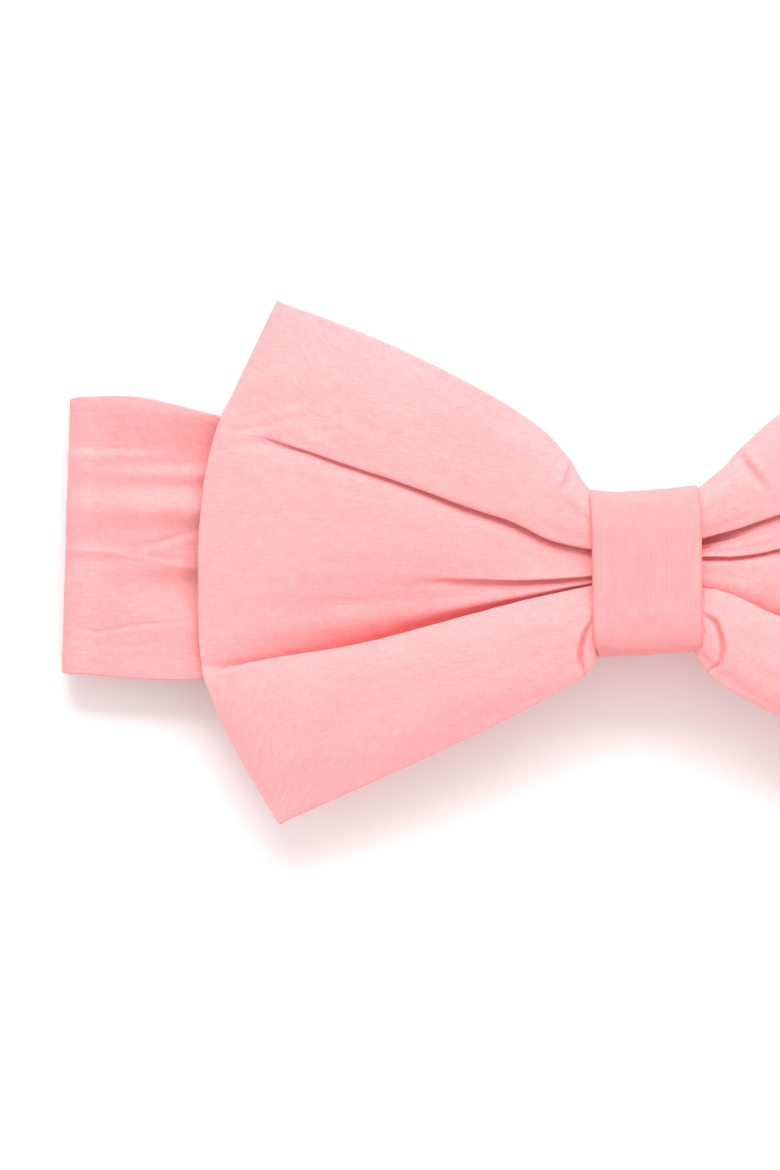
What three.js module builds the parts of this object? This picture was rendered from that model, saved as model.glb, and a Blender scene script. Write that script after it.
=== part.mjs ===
// A bow headband for spa use, lying flat with the bow upwards, in millimetres.
// +X runs along the band, +Y towards the top of the wearer's head, +Z out of the front of the bow.
// The origin is under the middle of the whole headband, on the surface that it lies on.
// The band is a loop folded flat: a front layer that carries the bow, a back layer below it with an
// elasticated casing in its middle, and a soft fold at each end. Each layer is two plies of cloth.
import * as THREE from "three";

// Driving dimensions of the band
const bandReach = 120; // from the middle to the end fold, half of the flat width
const bandHeight = 57.6; // of the front layer at the end folds
const bandRise = 5; // the band's ends lie this much nearer the top than the bow's middle
const clothPly = 0.9; // one ply with its turned edge
const plyGap = 0.3; // between plies that lie on each other
const layerSpace = 7; // clear space between the front and the back layer
const hingeReach = 38; // from the middle to the line where each layer bends
const hingeGap = 1; // from that line to the end of the cloth on each side of it
const backTuck = 1.2; // the back layer is this much narrower than the front one at each edge

// Driving dimensions of the elasticated casing
const casingHeight = 32;
const elasticHeight = 25;
const elasticThickness = 1.2;
const seamWidth = 3;
const seamThickness = 1;

// Driving dimensions of the knot
const knotWidth = 22.8;
const knotHeight = 34.8;
const knotDrop = 2; // the knot's middle lies this much below the bow's middle
const knotPly = 1.4;
const knotCorner = 5;
const gatherDepth = 11; // of the pinched cloth of the bow, front to back
const threadThickness = 0.6;
const threadWidth = 5;
const fitGap = 0.4; // between the knot and what it holds

// Driving dimensions of the bow
const bowReach = 92; // from the middle to the outermost point of a loop
const bowHeight = 107.6; // between the top and the bottom corner of a loop
const cornerReach = 75.6; // from the middle to those corners
const bulgeHeight = 8; // the outermost point lies this much below the bow's middle
const loopEdge = 3.6; // thickness of a loop at its edges
const loopPuff = 9.5; // what its pleats stand above that
const pleatDepth = 0.62; // how much of the puff a pleat line takes away
const waddingEase = 1.3; // the wadding fills a loop loosely
const stepsAlong = 8; // steps of a loop's outer ply, from the knot to the outer edge
const stepsAcross = 18; // and from the bottom corner to the top one
const lowerPleat = 5 / stepsAcross; // place of the pleat lines along the outer edge
const upperPleat = 13 / stepsAcross;

// Levels that follow from them
const layerThickness = 2 * clothPly + plyGap;
const frontBase = layerThickness + layerSpace;
const frontTop = frontBase + layerThickness;
const foldAxis = frontTop / 2;
const foldX = bandReach - foldAxis;
const casingInnerBase = clothPly + plyGap + elasticThickness + plyGap;
const casingTop = casingInnerBase + clothPly;
const threadBase = frontTop + plyGap;
const gatherBase = threadBase + threadThickness + plyGap;
const gatherTop = gatherBase + gatherDepth;
const knotInnerTop = gatherTop + plyGap + threadThickness + plyGap;
const knotInnerBase = frontBase - plyGap - seamThickness - plyGap;
const knotHalf = knotWidth / 2;
const loopStart = knotHalf + fitGap;
const loopBase = frontTop + plyGap + fitGap;

const fabric = new THREE.MeshStandardMaterial({ color: 0xf9b9ba, roughness: 0.9, metalness: 0 });
const lining = new THREE.MeshStandardMaterial({ color: 0xf7b4b6, roughness: 0.9, metalness: 0 });
const ribbed = new THREE.MeshStandardMaterial({ color: 0xf6b3b5, roughness: 0.92, metalness: 0 });
const wadding = new THREE.MeshStandardMaterial({ color: 0xf4eeea, roughness: 1, metalness: 0 });
const rubber = new THREE.MeshStandardMaterial({ color: 0xf1ece6, roughness: 0.8, metalness: 0 });
const thread = new THREE.MeshStandardMaterial({ color: 0xf0a3a6, roughness: 0.7, metalness: 0 });

const part = new THREE.Group();

function add(name, material, geometry, mirrored = false) {
  const mesh = new THREE.Mesh(geometry, material);
  mesh.name = name;
  if (mirrored) mesh.scale.x = -1;
  part.add(mesh);
  return mesh;
}

// A block of cells bent into a closed body: place(u, v, w) gives the point for each share of its
// length, its height and its thickness.
function shaped(cellsLong, cellsHigh, place) {
  const geometry = new THREE.BoxGeometry(1, 1, 1, cellsLong, cellsHigh, 1);
  const position = geometry.getAttribute("position");
  for (let i = 0; i < position.count; i++) {
    const point = place(position.getX(i) + 0.5, position.getY(i) + 0.5, position.getZ(i) + 0.5);
    position.setXYZ(i, point.x, point.y, point.z);
  }
  geometry.computeVertexNormals();
  return geometry;
}

const mix = THREE.MathUtils.lerp;
const rise = (x, from, to) => THREE.MathUtils.smoothstep(x, from, to);

// Outlines of the two layers: the front one narrows to the waist that the knot holds, and the back
// one narrows to the casing.
const waistHeight = knotHeight - 2 * (knotPly + fitGap + plyGap) - 0.6 * knotCorner;
const frontEdges = (x) => {
  const s = rise(x, knotHalf, foldX);
  return [mix(-knotDrop - waistHeight / 2, bandRise - bandHeight / 2, s),
    mix(-knotDrop + waistHeight / 2, bandRise + bandHeight / 2, s)];
};
const backEdges = (x) => {
  const s = rise(x, hingeReach, foldX);
  const half = mix(casingHeight / 2, bandHeight / 2 - backTuck, s);
  const middle = mix(-knotDrop, bandRise, s);
  return [middle - half, middle + half];
};

// A flat ply between two places along the band.
function ply(edges, from, to, base, thickness = clothPly, cellsLong = 6) {
  return shaped(cellsLong, 1, (u, v, w) => {
    const x = mix(from, to, u);
    const [low, high] = edges(x);
    return new THREE.Vector3(x, mix(low, high, v), base + w * thickness);
  });
}

// A ply that goes round the end fold, from the back layer up to the front one.
function foldPly(inset) {
  const outer = foldAxis - inset;
  return shaped(10, 1, (u, v, w) => {
    const angle = Math.PI * (u - 0.5);
    const radius = outer - clothPly + w * clothPly;
    const share = (1 + Math.sin(angle)) / 2;
    const [backLow, backHigh] = backEdges(foldX);
    const [frontLow, frontHigh] = frontEdges(foldX);
    const y = mix(mix(backLow, frontLow, share), mix(backHigh, frontHigh, share), 1 - v);
    return new THREE.Vector3(foldX + radius * Math.cos(angle), y, foldAxis + radius * Math.sin(angle));
  });
}

function roundedOutline(path, height, depth, corner) {
  const y = height / 2 - corner;
  const z = depth / 2 - corner;
  path.absarc(y, z, corner, 0, Math.PI / 2);
  path.absarc(-y, z, corner, Math.PI / 2, Math.PI);
  path.absarc(-y, -z, corner, Math.PI, 1.5 * Math.PI);
  path.absarc(y, -z, corner, 1.5 * Math.PI, 2 * Math.PI);
  path.closePath();
  return path;
}

// A sleeve or a block with rounded corners, square to the band, centred across the knot.
function acrossKnot(name, material, { height, base, top, corner, wall, width }) {
  const outline = roundedOutline(new THREE.Shape(), height, top - base, corner);
  if (wall) {
    outline.holes.push(
      roundedOutline(new THREE.Path(), height - 2 * wall, top - base - 2 * wall, corner - wall));
  }
  const geometry = new THREE.ExtrudeGeometry(outline, {
    depth: width, bevelEnabled: false, curveSegments: 4,
  });
  const mesh = add(name, material, geometry);
  mesh.rotation.set(Math.PI / 2, Math.PI / 2, 0);
  mesh.position.set(-width / 2, -knotDrop, (base + top) / 2);
  return mesh;
}

function block(name, material, [x, y, z], [long, high, thick]) {
  const mesh = add(name, material, new THREE.BoxGeometry(long, high, thick));
  mesh.position.set(x, y, z);
  return mesh;
}

// Back layer, middle: the casing with the elastic in it, and the two seams that join it to the sides.
const casingReach = hingeReach - hingeGap;
function strip(name, material, height, reach, base, thickness) {
  block(name, material, [0, -knotDrop, base + thickness / 2], [2 * reach, height, thickness]);
}
strip("casing_outer", fabric, casingHeight, casingReach, 0, clothPly);
strip("casing_elastic", rubber, elasticHeight, casingReach - seamWidth, clothPly + plyGap,
  elasticThickness);
strip("casing_inner", lining, casingHeight, casingReach, casingInnerBase, clothPly);
const seamBase = casingTop + plyGap;
const seamX = casingReach - seamWidth / 2;
for (const [side, sign] of [["left", -1], ["right", 1]]) {
  block(`casing_seam_${side}`, thread,
    [sign * seamX, -knotDrop, seamBase + seamThickness / 2],
    [seamWidth, casingHeight - 2 * backTuck, seamThickness]);
}

// What the two sides share, each made for the right side and mirrored for the left one.
const sides = [["left", true], ["right", false]];
const backStart = hingeReach + hingeGap;
const foldStart = foldX - plyGap;
for (const [side, mirrored] of sides) {
  add(`back_${side}_outer`, fabric, ply(backEdges, backStart, foldStart, 0), mirrored);
  add(`back_${side}_lining`, lining,
    ply(backEdges, backStart, foldStart, clothPly + plyGap), mirrored);
  add(`fold_${side}_face`, fabric, foldPly(0), mirrored);
  add(`fold_${side}_lining`, lining, foldPly(clothPly + plyGap), mirrored);
  add(`front_${side}_lining`, lining, ply(frontEdges, backStart, foldStart, frontBase), mirrored);
  add(`front_${side}_face`, fabric,
    ply(frontEdges, backStart, foldStart, frontBase + clothPly + plyGap), mirrored);
  add(`waist_${side}_lining`, lining, ply(frontEdges, plyGap, casingReach, frontBase), mirrored);
  add(`waist_${side}_face`, fabric,
    ply(frontEdges, plyGap, casingReach, frontBase + clothPly + plyGap), mirrored);
}

// A loop of the bow. The share u runs from the knot to the outer edge, v from the bottom corner to
// the top one. Both edges flare away from the knot, the upper one faster.
const knotBottom = -knotDrop - knotHeight / 2 - 1;
const knotTop = -knotDrop + knotHeight / 2 - 1;
const pleatSpread = 7.6; // the two pleat lines come this close at the knot
function rootHeight(v) {
  const middle = -knotDrop + 1;
  if (v < lowerPleat) return mix(knotBottom, middle - pleatSpread / 2, v / lowerPleat);
  if (v > upperPleat) {
    return mix(middle + pleatSpread / 2, knotTop, (v - upperPleat) / (1 - upperPleat));
  }
  return middle + pleatSpread * ((v - lowerPleat) / (upperPleat - lowerPleat) - 0.5);
}
const bulgeShare = 0.5 - bulgeHeight / bowHeight;
function outerReach(v) {
  const away = v > bulgeShare ? (v - bulgeShare) / (1 - bulgeShare) : (bulgeShare - v) / bulgeShare;
  return mix(bowReach, cornerReach, away ** 2);
}
function loopPlan(u, v) {
  const flare = v > 0.5 ? mix(1, 0.61, 2 * v - 1) : mix(0.85, 1, 2 * v);
  return [mix(loopStart, outerReach(v), u), mix(rootHeight(v), bowHeight * (v - 0.5), u ** flare)];
}
// Height of the front of a loop above its back: three rounded lobes between the pleat lines, which
// flatten towards the outer edge.
function loopTop(u, v) {
  const bounds = [0, lowerPleat, upperPleat, 1];
  const lobe = v < lowerPleat ? 0 : v < upperPleat ? 1 : 2;
  const within = (v - bounds[lobe]) / (bounds[lobe + 1] - bounds[lobe]);
  const crest = 1 - pleatDepth * (1 - Math.sin(Math.PI * within)) * (1 - u ** 3);
  const edge = Math.min(1, v / 0.12, (1 - v) / 0.12);
  const along = mix(0.85, 1, Math.min(1, 3 * u)) * Math.sqrt(Math.max(0, 1 - u ** 4));
  return loopEdge + loopPuff * crest * along * Math.sin(edge * Math.PI / 2);
}
// A layer of a loop between two heights. The wadding leaves out so many of the ply's outer steps.
function loopLayer(lower, upper, left = 0) {
  return shaped(stepsAlong - left, stepsAcross - 2 * left, (u, v, w) => {
    const s = u * (1 - left / stepsAlong);
    const t = mix(left / stepsAcross, 1 - left / stepsAcross, v);
    const [x, y] = loopPlan(s, t);
    return new THREE.Vector3(x, y, loopBase + mix(lower(s, t), upper(s, t), w));
  });
}
const backLevel = () => 0;
const backInside = () => clothPly;
const waddingBase = () => clothPly + plyGap;
const waddingTop = (u, v) => loopTop(u, v) - clothPly - waddingEase;
const frontInside = (u, v) => loopTop(u, v) - clothPly;
for (const [side, mirrored] of sides) {
  add(`bow_${side}_back`, fabric, loopLayer(backLevel, backInside), mirrored);
  add(`bow_${side}_wadding`, wadding, loopLayer(waddingBase, waddingTop, 1), mirrored);
  add(`bow_${side}_front`, fabric, loopLayer(frontInside, loopTop), mirrored);
}

// The knot: the pinched middle of the bow, the thread whipped round it, and the ribbed wrap that
// goes round both that and the waist of the band.
const gatherHeight = knotHeight - 2 * (knotPly + plyGap + threadThickness + plyGap);
const gatherCorner = knotCorner - knotPly - plyGap - threadThickness - plyGap;
acrossKnot("bow_gather", fabric, {
  height: gatherHeight, base: gatherBase, top: gatherTop, corner: gatherCorner, width: knotWidth,
});
acrossKnot("gather_thread", thread, {
  height: gatherHeight + 2 * (plyGap + threadThickness),
  base: threadBase,
  top: gatherTop + plyGap + threadThickness,
  corner: gatherCorner + plyGap + threadThickness,
  wall: threadThickness,
  width: threadWidth,
});
acrossKnot("knot_wrap", ribbed, {
  height: knotHeight, base: knotInnerBase - knotPly, top: knotInnerTop + knotPly,
  corner: knotCorner, wall: knotPly, width: knotWidth,
});
block("knot_seam", ribbed,
  [0, -knotDrop, knotInnerBase + plyGap + (seamThickness - plyGap) / 2],
  [knotWidth - 2, 2 * seamWidth, seamThickness - plyGap]);

// Two bar tacks under the knot, which hold the wrap to the band.
const tackLength = 5;
const tackThickness = 0.5;
for (const [place, sign] of [["upper", 1], ["lower", -1]]) {
  block(`knot_tack_${place}`, thread,
    [0, -knotDrop + sign * knotHeight / 4, knotInnerBase - knotPly - plyGap - tackThickness / 2],
    [tackLength, 1.2, tackThickness]);
}

export default part;
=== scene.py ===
import math

import bpy
import numpy as np
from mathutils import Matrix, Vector


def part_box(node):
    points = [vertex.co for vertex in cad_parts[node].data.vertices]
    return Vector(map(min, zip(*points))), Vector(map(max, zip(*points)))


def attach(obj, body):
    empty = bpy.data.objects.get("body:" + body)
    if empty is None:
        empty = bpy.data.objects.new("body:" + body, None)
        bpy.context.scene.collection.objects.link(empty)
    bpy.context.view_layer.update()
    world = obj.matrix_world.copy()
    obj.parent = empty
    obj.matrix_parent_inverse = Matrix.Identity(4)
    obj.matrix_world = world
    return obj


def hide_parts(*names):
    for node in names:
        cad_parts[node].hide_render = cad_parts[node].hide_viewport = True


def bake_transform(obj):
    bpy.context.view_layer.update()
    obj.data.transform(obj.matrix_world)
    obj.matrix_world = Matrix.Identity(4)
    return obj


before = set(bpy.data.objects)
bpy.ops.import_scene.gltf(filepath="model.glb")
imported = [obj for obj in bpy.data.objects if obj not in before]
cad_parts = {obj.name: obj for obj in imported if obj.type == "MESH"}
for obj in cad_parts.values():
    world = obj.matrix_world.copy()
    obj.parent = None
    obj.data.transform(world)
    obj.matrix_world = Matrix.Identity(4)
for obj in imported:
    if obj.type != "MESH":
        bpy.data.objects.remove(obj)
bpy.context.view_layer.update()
bpy.ops.object.select_all(action="DESELECT")


# --- The table, the light and the camera -------------------------------------------------------
# A white table top under a large soft window of light from behind the headband and a pale room
# all round. Its faint pink tint is painted pink light bounced off the cloth, seen only in its shadows.
# The camera looks straight down from a little over a metre.

def linear(hex_colour):
    """An sRGB hex colour as the linear RGBA that the shaders work in."""
    shares = [int(hex_colour[i : i + 2], 16) / 255 for i in (1, 3, 5)]
    return [s / 12.92 if s <= 0.04045 else ((s + 0.055) / 1.055) ** 2.4 for s in shares] + [1.0]


def add_node(material, kind, settings=None, **inputs):
    """A node with its settings, and its inputs: each a value, or the socket that feeds it."""
    node = material.node_tree.nodes.new(kind)
    for name, value in (settings or {}).items():
        setattr(node, name, value)
    for name, value in inputs.items():
        key = int(name[1:]) if name[1:].isdigit() else name.replace("_", " ")
        if isinstance(value, bpy.types.NodeSocket):
            material.node_tree.links.new(value, node.inputs[key])
        else:
            node.inputs[key].default_value = value
    return node


scene = bpy.context.scene
scene.view_settings.view_transform = "Standard"

bpy.ops.mesh.primitive_plane_add(size=6, location=(0, 0, -0.0004))
table = bpy.context.object
table.name = "table_top"
white_top = bpy.data.materials.new("white_table_top")
white_top.use_nodes = True
# Faint pink tint: painted bounce light from the pink cloth, which shows only in the table's shadows.
white_top.node_tree.nodes["Principled BSDF"].inputs["Base Color"].default_value = linear("#F8F1F1")
white_top.node_tree.nodes["Principled BSDF"].inputs["Roughness"].default_value = 0.85
table.data.materials.append(white_top)

room = bpy.data.worlds.new("pale_room")
scene.world = room
room.use_nodes = True
room.node_tree.nodes["Background"].inputs["Color"].default_value = (1, 1, 1, 1)
room.node_tree.nodes["Background"].inputs["Strength"].default_value = 1.03

window_place = Vector((0.06, 0.73, 0.78))
bpy.ops.object.light_add(type="AREA", location=window_place)
window = bpy.context.object
window.name = "window"
window.data.shape = "RECTANGLE"
window.data.size = 1.1
window.data.size_y = 0.45
window.data.energy = 12.1
window.rotation_euler = (-window_place).to_track_quat("-Z", "Y").to_euler()

bpy.ops.object.camera_add(location=(-0.0525, -0.0048, 1.22))
camera = bpy.context.object
camera.name = "camera"
camera.data.lens = 180
camera.data.sensor_width = 36
scene.camera = camera


# --- The cottons -------------------------------------------------------------------------------
# Pale pink cotton: a plain weave of fine thread, matt, with a little fuzz that lightens what is
# seen edge on. Light seeps about a millimetre into it, which keeps the shadows in its folds warm.
# The cloth's own map holds metres along and across the weave.

MM = 0.001


def woven_cotton(name, colour, shade, contrast, relief, grid, thread=0.42):
    """Plain-weave cotton between these two colours; thread is its threads' spacing in mm."""
    cotton = bpy.data.materials.new(name)
    cotton.use_nodes = True
    surface = cotton.node_tree.nodes["Principled BSDF"]
    place = add_node(cotton, "ShaderNodeUVMap", {"uv_map": "cloth"}).outputs["UV"]
    apart = add_node(cotton, "ShaderNodeSeparateXYZ", Vector=place)
    drift = add_node(cotton, "ShaderNodeTexNoise", Vector=place, Scale=160.0, Detail=1.0)
    waves = []
    for axis in ("X", "Y"):
        strayed = add_node(cotton, "ShaderNodeMath", {"operation": "MULTIPLY_ADD"},
                           _0=drift.outputs["Fac"], _1=1.2 * thread * MM, _2=apart.outputs[axis])
        phase = add_node(cotton, "ShaderNodeMath", {"operation": "MULTIPLY"},
                         _0=strayed.outputs[0], _1=2 * math.pi / (thread * MM))
        waves.append(add_node(cotton, "ShaderNodeMath", {"operation": "SINE"},
                              _0=phase.outputs[0]).outputs[0])
    weave = add_node(cotton, "ShaderNodeMath", {"operation": "MULTIPLY"}, _0=waves[0], _1=waves[1])
    drawn = add_node(cotton, "ShaderNodeMapping", Vector=place, Scale=(420.0, 2100.0, 1.0))
    slub = add_node(cotton, "ShaderNodeTexNoise", Vector=drawn.outputs[0], Scale=1.0, Detail=2.0)
    warp = add_node(cotton, "ShaderNodeMapping", Vector=place, Scale=(2100.0, 500.0, 1.0))
    warp_slub = add_node(cotton, "ShaderNodeTexNoise", Vector=warp.outputs[0], Scale=1.0, Detail=2.0)
    both = add_node(cotton, "ShaderNodeMath", {"operation": "MULTIPLY_ADD"},
                    _0=warp_slub.outputs["Fac"], _1=0.6, _2=slub.outputs["Fac"])
    threads = add_node(cotton, "ShaderNodeMath", {"operation": "MULTIPLY_ADD"},
                       _0=weave.outputs[0], _1=grid, _2=both.outputs[0])
    dye = add_node(cotton, "ShaderNodeTexNoise", Vector=place, Scale=70.0, Detail=4.0)
    tone = add_node(cotton, "ShaderNodeMath", {"operation": "MULTIPLY_ADD"},
                    _0=dye.outputs["Fac"], _1=0.45, _2=threads.outputs[0])
    level = add_node(cotton, "ShaderNodeMapRange", Value=tone.outputs[0])
    level.inputs["From Min"].default_value = 1.03 - 0.5 / contrast
    level.inputs["From Max"].default_value = 1.03 + 0.5 / contrast
    ramp = add_node(cotton, "ShaderNodeMix", {"data_type": "RGBA"},
                    _0=level.outputs[0], _6=linear(shade), _7=linear(colour))
    cotton.node_tree.links.new(ramp.outputs[2], surface.inputs["Base Color"])
    bump = add_node(cotton, "ShaderNodeBump", Strength=0.6, Distance=relief * MM,
                    Height=threads.outputs[0])
    cotton.node_tree.links.new(bump.outputs[0], surface.inputs["Normal"])
    surface.inputs["Roughness"].default_value = 0.92
    surface.inputs["Specular IOR Level"].default_value = 0.2
    surface.inputs["Subsurface Weight"].default_value = 0.35
    surface.inputs["Subsurface Radius"].default_value = (1.0, 0.2, 0.2)
    surface.inputs["Subsurface Scale"].default_value = 0.0012
    surface.inputs["Sheen Weight"].default_value = 0.08
    surface.inputs["Sheen Roughness"].default_value = 0.5
    surface.inputs["Sheen Tint"].default_value = linear("#FFD8D8")
    return cotton


band_cotton = woven_cotton("plain_weave_band_cotton", "#FAADAD", "#E79193", 1.3, 0.2, 0.5)
bow_cotton = woven_cotton("plain_weave_bow_cotton", "#F9A8A8", "#EC9496", 1.25, 0.14, 0.14)


# --- The band ----------------------------------------------------------------------------------
# Two plies of cotton sewn into a flat tube, 57.6 mm high at its ends. It narrows to a gathered
# waist under the knot, turns in a soft fold at each end and runs back to the elastic casing.

def curve_through(*points):
    """A smooth line through points, each (place, value), that never overshoots them."""
    places, values = np.array(points, float).T
    rises = np.diff(values) / np.diff(places)
    before, after = rises[:-1], rises[1:]
    slopes = np.concatenate([rises[:1], np.zeros(len(before)), rises[-1:]])
    climbing = before * after > 0
    slopes[1:-1][climbing] = 2 * before[climbing] * after[climbing] / (before + after)[climbing]

    def at(place):
        place = np.clip(place, places[0], places[-1])
        i = np.clip(np.searchsorted(places, place) - 1, 0, len(places) - 2)
        step = places[i + 1] - places[i]
        t = (place - places[i]) / step
        return ((1 + 2 * t) * (1 - t) ** 2 * values[i] + t * (1 - t) ** 2 * step * slopes[i]
                + t * t * (3 - 2 * t) * values[i + 1] + t * t * (t - 1) * step * slopes[i + 1])

    return at


def smoothstep(value, low, high):
    """An eased step from 0 at the low value to 1 at the high one."""
    t = np.clip((value - low) / (high - low), 0, 1)
    return t * t * (3 - 2 * t)


def lattice_noise(x, y, seed):
    """Smooth noise from -1 to 1, with one bump for each unit of x and of y."""
    table_of_heights = np.random.default_rng(seed).uniform(-1, 1, (64, 64))
    column, row = np.floor(x).astype(int), np.floor(y).astype(int)
    along, across = x - column, y - row
    along = along**3 * (along * (along * 6 - 15) + 10)
    across = across**3 * (across * (across * 6 - 15) + 10)
    corner = [[table_of_heights[(column + i) % 64, (row + j) % 64] for j in (0, 1)] for i in (0, 1)]
    near = corner[0][0] * (1 - across) + corner[0][1] * across
    far = corner[1][0] * (1 - across) + corner[1][1] * across
    return near * (1 - along) + far * along


def away_from(x, y, points):
    """Distance of each place from a line of points, and how far along that line it is, 0 to 1."""
    nearest = np.full(np.shape(x), np.inf)
    share = np.zeros(np.shape(x))
    lengths = [math.dist(a, b) for a, b in zip(points, points[1:])]
    done = 0.0
    for (x0, y0), (x1, y1), length in zip(points, points[1:], lengths):
        t = np.clip(((x - x0) * (x1 - x0) + (y - y0) * (y1 - y0)) / length**2, 0, 1)
        gap = np.hypot(x - x0 - t * (x1 - x0), y - y0 - t * (y1 - y0))
        side = np.sign((x1 - x0) * (y - y0) - (y1 - y0) * (x - x0))
        closer = gap < np.abs(nearest)
        nearest = np.where(closer, gap * np.where(side == 0, 1, side), nearest)
        share = np.where(closer, (done + t * length) / sum(lengths), share)
        done += length
    return nearest, share


def crease(x, y, points, depth, width, rise=0.4):
    """A crease: a narrow valley along the given points, with a soft rise on its left."""
    gap, share = away_from(x, y, points)
    fade = np.sin(np.pi * np.clip(share, 0.02, 0.98)) ** 0.6
    valley = -np.exp(-((gap / width) ** 2))
    return depth * fade * (valley + rise * np.exp(-(((gap - 2 * width) / (1.6 * width)) ** 2)))


def sewn_mesh(name, rings, faces, smooth, cloth_map, material):
    """A piece of cloth from rings of points in millimetres, of which the first faces are smooth.
    Its doubles are merged and its faces turned outwards."""
    data = bpy.data.meshes.new(name)
    data.from_pydata((np.asarray(rings).reshape(-1, 3) * MM).tolist(), [], faces)
    layer = data.uv_layers.new(name="cloth")
    flat = np.asarray(cloth_map).reshape(-1, 2) * MM
    index = np.zeros(len(data.loops), int)
    data.loops.foreach_get("vertex_index", index)
    layer.data.foreach_set("uv", flat[index].astype(np.float32).ravel())
    data.polygons.foreach_set("use_smooth", [k < smooth for k in range(len(faces))])
    piece = bpy.data.objects.new(name, data)
    scene.collection.objects.link(piece)
    data.materials.append(material)
    bpy.ops.object.select_all(action="DESELECT")
    bpy.context.view_layer.objects.active = piece
    piece.select_set(True)
    bpy.ops.object.mode_set(mode="EDIT")
    bpy.ops.mesh.select_all(action="SELECT")
    bpy.ops.mesh.remove_doubles(threshold=2e-6)
    bpy.ops.mesh.normals_make_consistent(inside=False)
    bpy.ops.object.mode_set(mode="OBJECT")
    piece.select_set(False)
    return piece


def cloth_mesh(name, rings, cloth_map, material):
    """A tube of cloth from its rings, with both ends closed by a ladder of flat faces between the
    two halves of the ring."""
    count, around = len(rings), len(rings[0])
    faces = []
    for i in range(count - 1):
        for j in range(around):
            k = (j + 1) % around
            faces.append((i * around + j, i * around + k, (i + 1) * around + k, (i + 1) * around + j))
    smooth = len(faces)
    for i, turned in ((0, True), (count - 1, False)):
        for j in range(around // 2):
            a, b = i * around + j, i * around + j + 1
            c, d = i * around + (around - j - 1) % around, i * around + (around - j) % around
            face = tuple(dict.fromkeys((a, b, c, d)))
            if len(face) > 2:
                faces.append(face[::-1] if turned else face)
    return sewn_mesh(name, rings, faces, smooth, cloth_map, material)


def cad_mm(node):
    """The lowest and highest corner of a CAD node, in millimetres."""
    return [np.array(corner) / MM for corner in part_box(node)]


band_low, band_high = cad_mm("front_left_face")
fold_x = -cad_mm("fold_left_face")[1][0]
front_level = (cad_mm("front_left_lining")[0][2] + band_high[2]) / 2
back_level = cad_mm("back_left_lining")[1][2] / 2
half_ply = back_level
fold_reach = -cad_mm("fold_left_face")[0][0] - fold_x - half_ply
fold_middle = (front_level + back_level) / 2
waist_low, waist_high = cad_mm("knot_wrap")
waist_middle = (waist_low[1] + waist_high[1]) / 2
knot_half = waist_high[0]
casing_low, casing_high = cad_mm("casing_outer")
band_split = 80
fold_squareness = 5
quarter_fold = fold_reach * 1.75
waist_half = 13.9
laid_height = 57.6


def band_path(along):
    """Where the band's middle line is, and which way its face looks, for a length in millimetres
    from the knot along the front, round the fold and back: reach, height and the face's turn."""
    turn = np.clip((along - fold_x) / (2 * quarter_fold), 0, 1) * np.pi
    power = 2 / fold_squareness
    reach = np.where(along < fold_x, along,
                     fold_x + fold_reach * np.abs(np.sin(turn)) ** power)
    rounding = np.sign(np.cos(turn)) * np.abs(np.cos(turn)) ** power
    height = fold_middle + (front_level - fold_middle) * rounding
    beyond = along - fold_x - 2 * quarter_fold
    reach = np.where(beyond > 0, fold_x - beyond, reach)
    height = np.where(beyond > 0, back_level, height)
    return reach, height, turn


band_length = 2 * fold_x + 2 * quarter_fold - casing_high[0]


def band_edges(along):
    """The band's lower and upper edge for a length along it."""
    reach, _, turn = band_path(along)
    front = smoothstep(reach, knot_half, fold_x)
    sag = 1.5 * np.exp(-(((reach - 93) / 13) ** 2)) - 0.6 * smoothstep(reach, 104, 118)
    crown = 0.9 * np.exp(-(((reach - 105) / 10) ** 2)) + 0.2 * smoothstep(reach, 108, 118)
    low = np.interp(front, (0, 1), (waist_middle - waist_half, band_low[1])) - sag
    high = np.interp(front, (0, 1), (waist_middle + waist_half, band_high[1])) + crown
    back = smoothstep(reach, casing_high[0], fold_x)
    back_low = np.interp(back, (0, 1), (casing_low[1], band_low[1] + 1))
    back_high = np.interp(back, (0, 1), (casing_high[1], band_high[1] - 1))
    behind = smoothstep(turn, 0.2 * np.pi, 0.8 * np.pi)
    return low + (back_low - low) * behind, high + (back_high - high) * behind


# How the face stands, from its lower edge to its upper: at the fold, and beside the bow.
face_at_fold = curve_through((-23, 0), (-13.3, -0.15), (-8, 0.1), (0.3, -0.45), (2.3, 0),
                             (3.6, -0.25), (11, 0.5), (16.3, -0.6), (21.8, -0.1), (23.8, -0.8),
                             (32.6, 0.2))
face_by_bow = curve_through((-23.6, 0), (-18, -0.3), (-12.6, -0.1), (-10.4, -0.5), (-4.6, -2.5),
                            (-0.6, -1.0), (3, -1.3), (6.2, -1.3), (11, 0.7), (15.6, -1.6),
                            (18, -1.0), (20.5, -2.4), (30.8, 0.6))


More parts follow.
